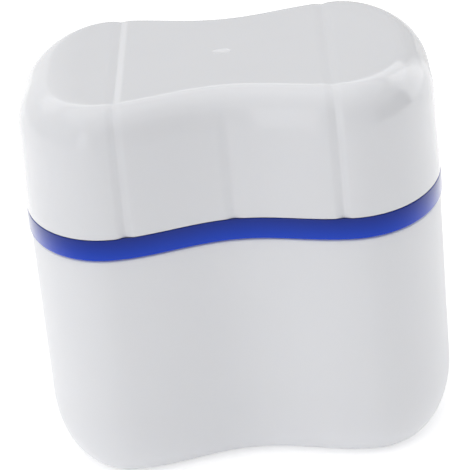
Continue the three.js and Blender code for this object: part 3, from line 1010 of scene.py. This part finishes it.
def near(nodes, links, distance, half, soft):
    """1 within half of the middle, falling to 0 across a soft edge."""
    node = nodes.new("ShaderNodeMapRange")
    node.interpolation_type = "SMOOTHSTEP"
    node.inputs["From Min"].default_value = math.radians(half + soft)
    node.inputs["From Max"].default_value = math.radians(half - soft)
    links.new(distance, node.inputs["Value"])
    return node.outputs["Result"]


def panel_sum(nodes, links, azimuth, elevation, panels):
    """The strengths of the panels that lie in a direction, added up."""
    total = 0.0
    for az, half_az, el, half_el, soft_az, soft_el, strength in panels.values():
        turned = math_node(nodes, links, "SUBTRACT", azimuth, math.radians(az))
        wrapped = math_node(nodes, links, "WRAP", turned, math.pi, -math.pi)
        across = near(nodes, links, math_node(nodes, links, "ABSOLUTE", wrapped), half_az, soft_az)
        risen = math_node(nodes, links, "SUBTRACT", elevation, math.radians(el))
        upwards = near(nodes, links, math_node(nodes, links, "ABSOLUTE", risen), half_el, soft_el)
        both = math_node(nodes, links, "MULTIPLY", across, upwards)
        total = math_node(nodes, links, "MULTIPLY_ADD", both, strength, total)
    return total


def seen_directly(nodes, links):
    """Two marks: 1 for a camera ray, and 1 for that or one that gloss or a clear piece sends on."""
    path = nodes.new("ShaderNodeLightPath")
    camera, glossy = path.outputs["Is Camera Ray"], path.outputs["Is Glossy Ray"]
    either = math_node(nodes, links, "MAXIMUM", camera, glossy)
    return camera, math_node(nodes, links, "MAXIMUM", either, path.outputs["Is Transmission Ray"])


def set_world():
    """A white surround for the camera and for gloss, and soft lamps that light the object."""
    world = bpy.data.worlds.new("studio")
    bpy.context.scene.world = world
    world.use_nodes = True
    nodes, links = world.node_tree.nodes, world.node_tree.links
    coords = nodes.new("ShaderNodeTexCoord")
    axes = nodes.new("ShaderNodeSeparateXYZ")
    links.new(coords.outputs["Generated"], axes.inputs["Vector"])
    x, y, z = axes.outputs
    azimuth = math_node(nodes, links, "ARCTAN2", x, y)
    elevation = math_node(nodes, links, "ARCSINE", z)
    lamps = panel_sum(nodes, links, azimuth, elevation, LAMPS)
    shown = panel_sum(nodes, links, azimuth, elevation, IN_GLOSS)
    camera, direct = seen_directly(nodes, links)
    reflected = math_node(nodes, links, "SUBTRACT", 1.0, camera)
    white = math_node(nodes, links, "MULTIPLY_ADD", shown, reflected, 1.0)
    diffuse = math_node(nodes, links, "SUBTRACT", 1.0, direct)
    from_lamps = math_node(nodes, links, "MULTIPLY", lamps, diffuse)
    back = nodes["Background"]
    back.inputs["Color"].default_value = (1.0, 1.0, 1.0, 1)
    total = math_node(nodes, links, "MULTIPLY_ADD", white, direct, from_lamps)
    links.new(total, back.inputs["Strength"])


def far_behind(nodes, links, coords):
    """1 on the floor beyond the foot of the card behind the object, as wide as that card."""
    axes = nodes.new("ShaderNodeSeparateXYZ")
    links.new(coords.outputs["Object"], axes.inputs["Vector"])
    x, y, _ = axes.outputs
    az, half_az, _, _, soft_az, _, _ = IN_GLOSS["back_card"]
    azimuth = math_node(nodes, links, "ARCTAN2", x, y)
    turned = math_node(nodes, links, "SUBTRACT", azimuth, math.radians(az))
    across = near(nodes, links, math_node(nodes, links, "ABSOLUTE", turned), half_az, soft_az)
    beyond = math_node(nodes, links, "GREATER_THAN", y, CARD_FOOT)
    return math_node(nodes, links, "MULTIPLY", across, beyond)


def make_floor():
    """Pale paper that looks white where nothing shades it, and that gloss sees end at the card."""
    mesh = bpy.data.meshes.new("floor")
    half = FLOOR_SIZE / 2
    corners = [(-half, -half, 0), (half, -half, 0), (half, half, 0), (-half, half, 0)]
    mesh.from_pydata(corners, [], [(0, 1, 2, 3)])
    floor = bpy.data.objects.new("floor", mesh)
    bpy.context.scene.collection.objects.link(floor)
    mat, nodes, links, shader = new_material("floor_paper")
    coords = nodes.new("ShaderNodeTexCoord")
    fibre = noise(nodes, links, coords, 900.0, 3.0)
    bump = bump_node(nodes, links, fibre, 0.05, 0.0001)
    links.new(bump.outputs["Normal"], shader.inputs["Normal"])
    shader.inputs["Base Color"].default_value = (0.92, 0.92, 0.92, 1)
    shader.inputs["Roughness"].default_value = 0.85
    camera, direct = seen_directly(nodes, links)
    glow = math_node(nodes, links, "MULTIPLY_ADD", direct, FLOOR_WHITE, FLOOR_GLOW)
    reflected = math_node(nodes, links, "SUBTRACT", direct, camera)
    dimmed = math_node(nodes, links, "MULTIPLY", reflected, far_behind(nodes, links, coords))
    kept = math_node(nodes, links, "SUBTRACT", 1.0, dimmed)
    links.new(math_node(nodes, links, "MULTIPLY", glow, kept), shader.inputs["Emission Strength"])
    shader.inputs["Emission Color"].default_value = (1, 1, 1, 1)
    floor.data.materials.append(mat)


set_world()
make_floor()


# Camera, from the fit to the photograph: degrees, millimetres, and pixels for the focal length
AZIMUTH, ELEVATION, ROLL = 1.3777, 19.0, 5.574
TARGET = (-0.9124, 0, 38.0612)
DISTANCE = 650.4
FOCAL_LENGTH = 3088.2
PICTURE_WIDTH = 470
SENSOR_WIDTH = 36


def make_camera():
    azimuth, elevation, roll = math.radians(AZIMUTH), math.radians(ELEVATION), math.radians(ROLL)
    target = Vector(TARGET) * MM
    back = Vector((
        math.sin(azimuth) * math.cos(elevation),
        -math.cos(azimuth) * math.cos(elevation),
        math.sin(elevation),
    ))
    right = Vector((math.cos(azimuth), math.sin(azimuth), 0))
    up = back.cross(right)
    turned_right = right * math.cos(roll) - up * math.sin(roll)
    turned_up = right * math.sin(roll) + up * math.cos(roll)
    data = bpy.data.cameras.new("camera")
    data.sensor_width = SENSOR_WIDTH
    data.lens = SENSOR_WIDTH * FOCAL_LENGTH / PICTURE_WIDTH
    data.clip_start = 0.01
    data.clip_end = 20
    camera = bpy.data.objects.new("camera", data)
    place = target + back * DISTANCE * MM
    camera.matrix_world = Matrix((
        (turned_right.x, turned_up.x, back.x, place.x),
        (turned_right.y, turned_up.y, back.y, place.y),
        (turned_right.z, turned_up.z, back.z, place.z),
        (0, 0, 0, 1),
    ))
    bpy.context.scene.collection.objects.link(camera)
    bpy.context.scene.camera = camera


make_camera()
bpy.context.scene.view_settings.view_transform = "Standard"
